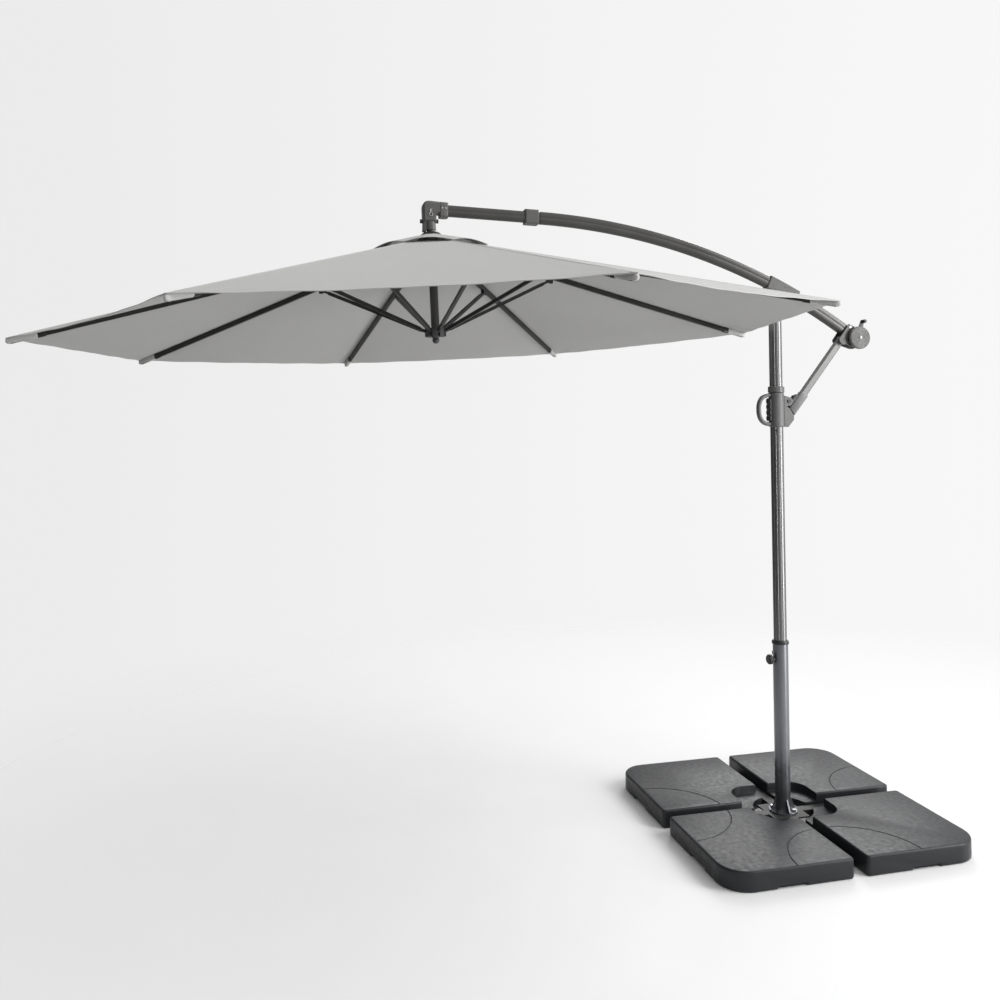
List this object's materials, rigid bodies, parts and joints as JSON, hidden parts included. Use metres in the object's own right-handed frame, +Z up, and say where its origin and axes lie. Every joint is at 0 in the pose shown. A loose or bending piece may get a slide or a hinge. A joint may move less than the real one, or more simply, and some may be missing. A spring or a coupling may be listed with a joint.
{
  "type": "cantilever parasol",
  "caption": "Octagonal cantilever parasol: curved boom on a turning mast, sliding grip handle with support strut, cord crank, folding ribs and a square weighted base.",
  "frame": {"origin": "mast axis where it meets the ground, at the centre of the cross frame's underside", "axes": "+Z up along the mast, -X along the boom towards the canopy, +Y away from the crank cover's side"},
  "size_m": [3.3588, 2.8342, 2.4571],
  "materials": {
    "graphite_metal": "satin",
    "steel": "satin",
    "base_plastic": "satin",
    "grey_plastic": "satin",
    "dark_plastic": "satin",
    "black_plastic": "satin",
    "rib_metal": "satin",
    "canopy_cloth": "matte",
    "cord": "matte"
  },
  "bodies": {
    "base": {"cross_frame": "graphite_metal", "base_plate_back": "base_plastic", "base_plate_left": "base_plastic", "base_plate_front": "base_plastic", "base_plate_right": "base_plastic", "base_tube": "graphite_metal", "base_tube_collar": "black_plastic", "foot_bolt_1": "steel", "foot_bolt_2": "steel", "foot_bolt_3": "steel", "foot_bolt_4": "steel"},
    "thumb_screw": {"thumb_screw": "black_plastic"},
    "mast": {"mast_tube": "graphite_metal", "mast_foot_plug": "black_plastic", "mast_top_bracket": "grey_plastic", "boom_pivot_pin": "steel"},
    "boom": {"boom_saddle": "grey_plastic", "boom_tube_rear": "graphite_metal", "boom_tube_front": "graphite_metal", "boom_coupling": "grey_plastic", "elbow": "grey_plastic", "elbow_bolt": "steel", "crank_bracket": "grey_plastic", "strut_upper_pin": "steel", "canopy_pole": "graphite_metal", "crown_hub": "dark_plastic", "crown_cap": "black_plastic", "canopy_fabric": "canopy_cloth", "vent_fabric": "canopy_cloth", "hoist_cord": "cord"},
    "slider": {"slider_sleeve": "grey_plastic", "slider_ring": "dark_plastic", "grip_loop": "grey_plastic", "strut_lower_pin": "steel"},
    "trigger": {"grip_trigger": "black_plastic"},
    "strut": {"support_strut": "graphite_metal", "strut_socket": "dark_plastic"},
    "crank": {"cord_drum": "dark_plastic", "crank_disc": "dark_plastic", "crank_arm": "steel", "crank_knob": "black_plastic"},
    "runner": {"lower_hub": "dark_plastic", "hub_finial": "dark_plastic"},
    "rib_1": {"rib_1": "rib_metal"},
    "rib_strut_1": {"rib_strut_1": "rib_metal"},
    "rib_2": {"rib_2": "rib_metal"},
    "rib_strut_2": {"rib_strut_2": "rib_metal"},
    "rib_3": {"rib_3": "rib_metal"},
    "rib_strut_3": {"rib_strut_3": "rib_metal"},
    "rib_4": {"rib_4": "rib_metal"},
    "rib_strut_4": {"rib_strut_4": "rib_metal"},
    "rib_5": {"rib_5": "rib_metal"},
    "rib_strut_5": {"rib_strut_5": "rib_metal"},
    "rib_6": {"rib_6": "rib_metal"},
    "rib_strut_6": {"rib_strut_6": "rib_metal"},
    "rib_7": {"rib_7": "rib_metal"},
    "rib_strut_7": {"rib_strut_7": "rib_metal"},
    "rib_8": {"rib_8": "rib_metal"},
    "rib_strut_8": {"rib_strut_8": "rib_metal"}
  },
  "joints": [
    {"name": "mast_swivel", "type": "hinge", "parent": "base", "child": "mast", "pos_m": [0, 0, 0.7], "axis": [0, 0, 1], "continuous": true},
    {"name": "thumb_screw_turn", "type": "hinge", "parent": "base", "child": "thumb_screw", "pos_m": [-0.04, 0, 0.644], "axis": [-1, 0, 0], "continuous": true},
    {"name": "boom_lower", "type": "hinge", "parent": "mast", "child": "boom", "pos_m": [0.022, 0, 2.108], "axis": [0, -1, 0], "range_deg": [0, 16]},
    {"name": "handle_slide", "type": "slide", "parent": "mast", "child": "slider", "axis": [0, 0, 1], "range_m": [0, 0.119]},
    {"name": "trigger_squeeze", "type": "slide", "parent": "slider", "child": "trigger", "axis": [1, 0, 0], "range_m": [0, 0.003], "stiffness_N_per_m": 800, "springref_m": -0.002},
    {"name": "strut_swing", "type": "hinge", "parent": "boom", "child": "strut", "pos_m": [0.308, 0, 1.962], "axis": [0, -1, 0], "range_deg": [-23.39, 0]},
    {"name": "canopy_close", "type": "slide", "parent": "boom", "child": "runner", "axis": [0.0407, 0, -0.9992], "range_m": [0, 0.6171], "deforming": ["canopy_fabric", "vent_fabric", "hoist_cord"]},
    {"name": "crank_turn", "type": "hinge", "parent": "boom", "child": "crank", "pos_m": [0.373, 0, 1.968], "axis": [0, 1, 0], "range_deg": [0, 2526.5]},
    {"name": "rib_fold_1", "type": "hinge", "parent": "boom", "child": "rib_1", "pos_m": [-1.39763, 0.00727, 2.29981], "axis": [-0.1615, 0.9869, -0.0066], "range_deg": [0, 64.1]},
    {"name": "rib_strut_fold_1", "type": "hinge", "parent": "rib_1", "child": "rib_strut_1", "pos_m": [-0.95266, 0.07931, 2.18437], "axis": [-0.1615, 0.9869, -0.0066], "range_deg": [-119.92, 0]},
    {"name": "rib_fold_2", "type": "hinge", "parent": "boom", "child": "rib_2", "pos_m": [-1.41576, 0.03654, 2.29907], "axis": [-0.8114, 0.5835, -0.033], "range_deg": [0, 64.1]},
    {"name": "rib_strut_fold_2", "type": "hinge", "parent": "rib_2", "child": "rib_strut_2", "pos_m": [-1.15043, 0.39855, 2.17632], "axis": [-0.8114, 0.5835, -0.033], "range_deg": [-119.92, 0]},
    {"name": "rib_fold_3", "type": "hinge", "parent": "boom", "child": "rib_3", "pos_m": [-1.44927, 0.04441, 2.2977], "axis": [-0.986, -0.1616, -0.0401], "range_deg": [0, 64.1]},
    {"name": "rib_strut_fold_3", "type": "hinge", "parent": "rib_3", "child": "rib_strut_3", "pos_m": [-1.51582, 0.48432, 2.16146], "axis": [-0.986, -0.1616, -0.0401], "range_deg": [-119.92, 0]},
    {"name": "rib_fold_4", "type": "hinge", "parent": "boom", "child": "rib_4", "pos_m": [-1.47851, 0.02626, 2.29651], "axis": [-0.5831, -0.8121, -0.0237], "range_deg": [0, 64.1]},
    {"name": "rib_strut_fold_4", "type": "hinge", "parent": "rib_4", "child": "rib_strut_4", "pos_m": [-1.83479, 0.28638, 2.14848], "axis": [-0.5831, -0.8121, -0.0237], "range_deg": [-119.92, 0]},
    {"name": "rib_fold_5", "type": "hinge", "parent": "boom", "child": "rib_5", "pos_m": [-1.48637, -0.00727, 2.29619], "axis": [0.1615, -0.9869, 0.0066], "range_deg": [0, 64.1]},
    {"name": "rib_strut_fold_5", "type": "hinge", "parent": "rib_5", "child": "rib_strut_5", "pos_m": [-1.92049, -0.07931, 2.14499], "axis": [0.1615, -0.9869, 0.0066], "range_deg": [-119.92, 0]},
    {"name": "rib_fold_6", "type": "hinge", "parent": "boom", "child": "rib_6", "pos_m": [-1.46824, -0.03654, 2.29693], "axis": [0.8114, -0.5835, 0.033], "range_deg": [0, 64.1]},
    {"name": "rib_strut_fold_6", "type": "hinge", "parent": "rib_6", "child": "rib_strut_6", "pos_m": [-1.72272, -0.39855, 2.15304], "axis": [0.8114, -0.5835, 0.033], "range_deg": [-119.92, 0]},
    {"name": "rib_fold_7", "type": "hinge", "parent": "boom", "child": "rib_7", "pos_m": [-1.43473, -0.04441, 2.2983], "axis": [0.986, 0.1616, 0.0401], "range_deg": [0, 64.1]},
    {"name": "rib_strut_fold_7", "type": "hinge", "parent": "rib_7", "child": "rib_strut_7", "pos_m": [-1.35733, -0.48432, 2.16791], "axis": [0.986, 0.1616, 0.0401], "range_deg": [-119.92, 0]},
    {"name": "rib_fold_8", "type": "hinge", "parent": "boom", "child": "rib_8", "pos_m": [-1.40549, -0.02626, 2.29949], "axis": [0.5831, 0.8121, 0.0237], "range_deg": [0, 64.1]},
    {"name": "rib_strut_fold_8", "type": "hinge", "parent": "rib_8", "child": "rib_strut_8", "pos_m": [-1.03836, -0.28638, 2.18088], "axis": [0.5831, 0.8121, 0.0237], "range_deg": [-119.92, 0]}
  ],
  "couplings": [
    {"joint": "handle_slide", "follows": "boom_lower", "m_per_rad": 0.4225},
    {"joint": "strut_swing", "follows": "boom_lower", "ratio": -1.4495},
    {"joint": "crank_turn", "follows": "canopy_close", "rad_per_m": 71.429},
    {"joint": "rib_fold_1", "follows": "canopy_close", "rad_per_m": 1.8101},
    {"joint": "rib_strut_fold_1", "follows": "canopy_close", "rad_per_m": -3.386},
    {"joint": "rib_fold_2", "follows": "canopy_close", "rad_per_m": 1.8101},
    {"joint": "rib_strut_fold_2", "follows": "canopy_close", "rad_per_m": -3.386},
    {"joint": "rib_fold_3", "follows": "canopy_close", "rad_per_m": 1.8101},
    {"joint": "rib_strut_fold_3", "follows": "canopy_close", "rad_per_m": -3.386},
    {"joint": "rib_fold_4", "follows": "canopy_close", "rad_per_m": 1.8101},
    {"joint": "rib_strut_fold_4", "follows": "canopy_close", "rad_per_m": -3.386},
    {"joint": "rib_fold_5", "follows": "canopy_close", "rad_per_m": 1.8101},
    {"joint": "rib_strut_fold_5", "follows": "canopy_close", "rad_per_m": -3.386},
    {"joint": "rib_fold_6", "follows": "canopy_close", "rad_per_m": 1.8101},
    {"joint": "rib_strut_fold_6", "follows": "canopy_close", "rad_per_m": -3.386},
    {"joint": "rib_fold_7", "follows": "canopy_close", "rad_per_m": 1.8101},
    {"joint": "rib_strut_fold_7", "follows": "canopy_close", "rad_per_m": -3.386},
    {"joint": "rib_fold_8", "follows": "canopy_close", "rad_per_m": 1.8101},
    {"joint": "rib_strut_fold_8", "follows": "canopy_close", "rad_per_m": -3.386}
  ]
}
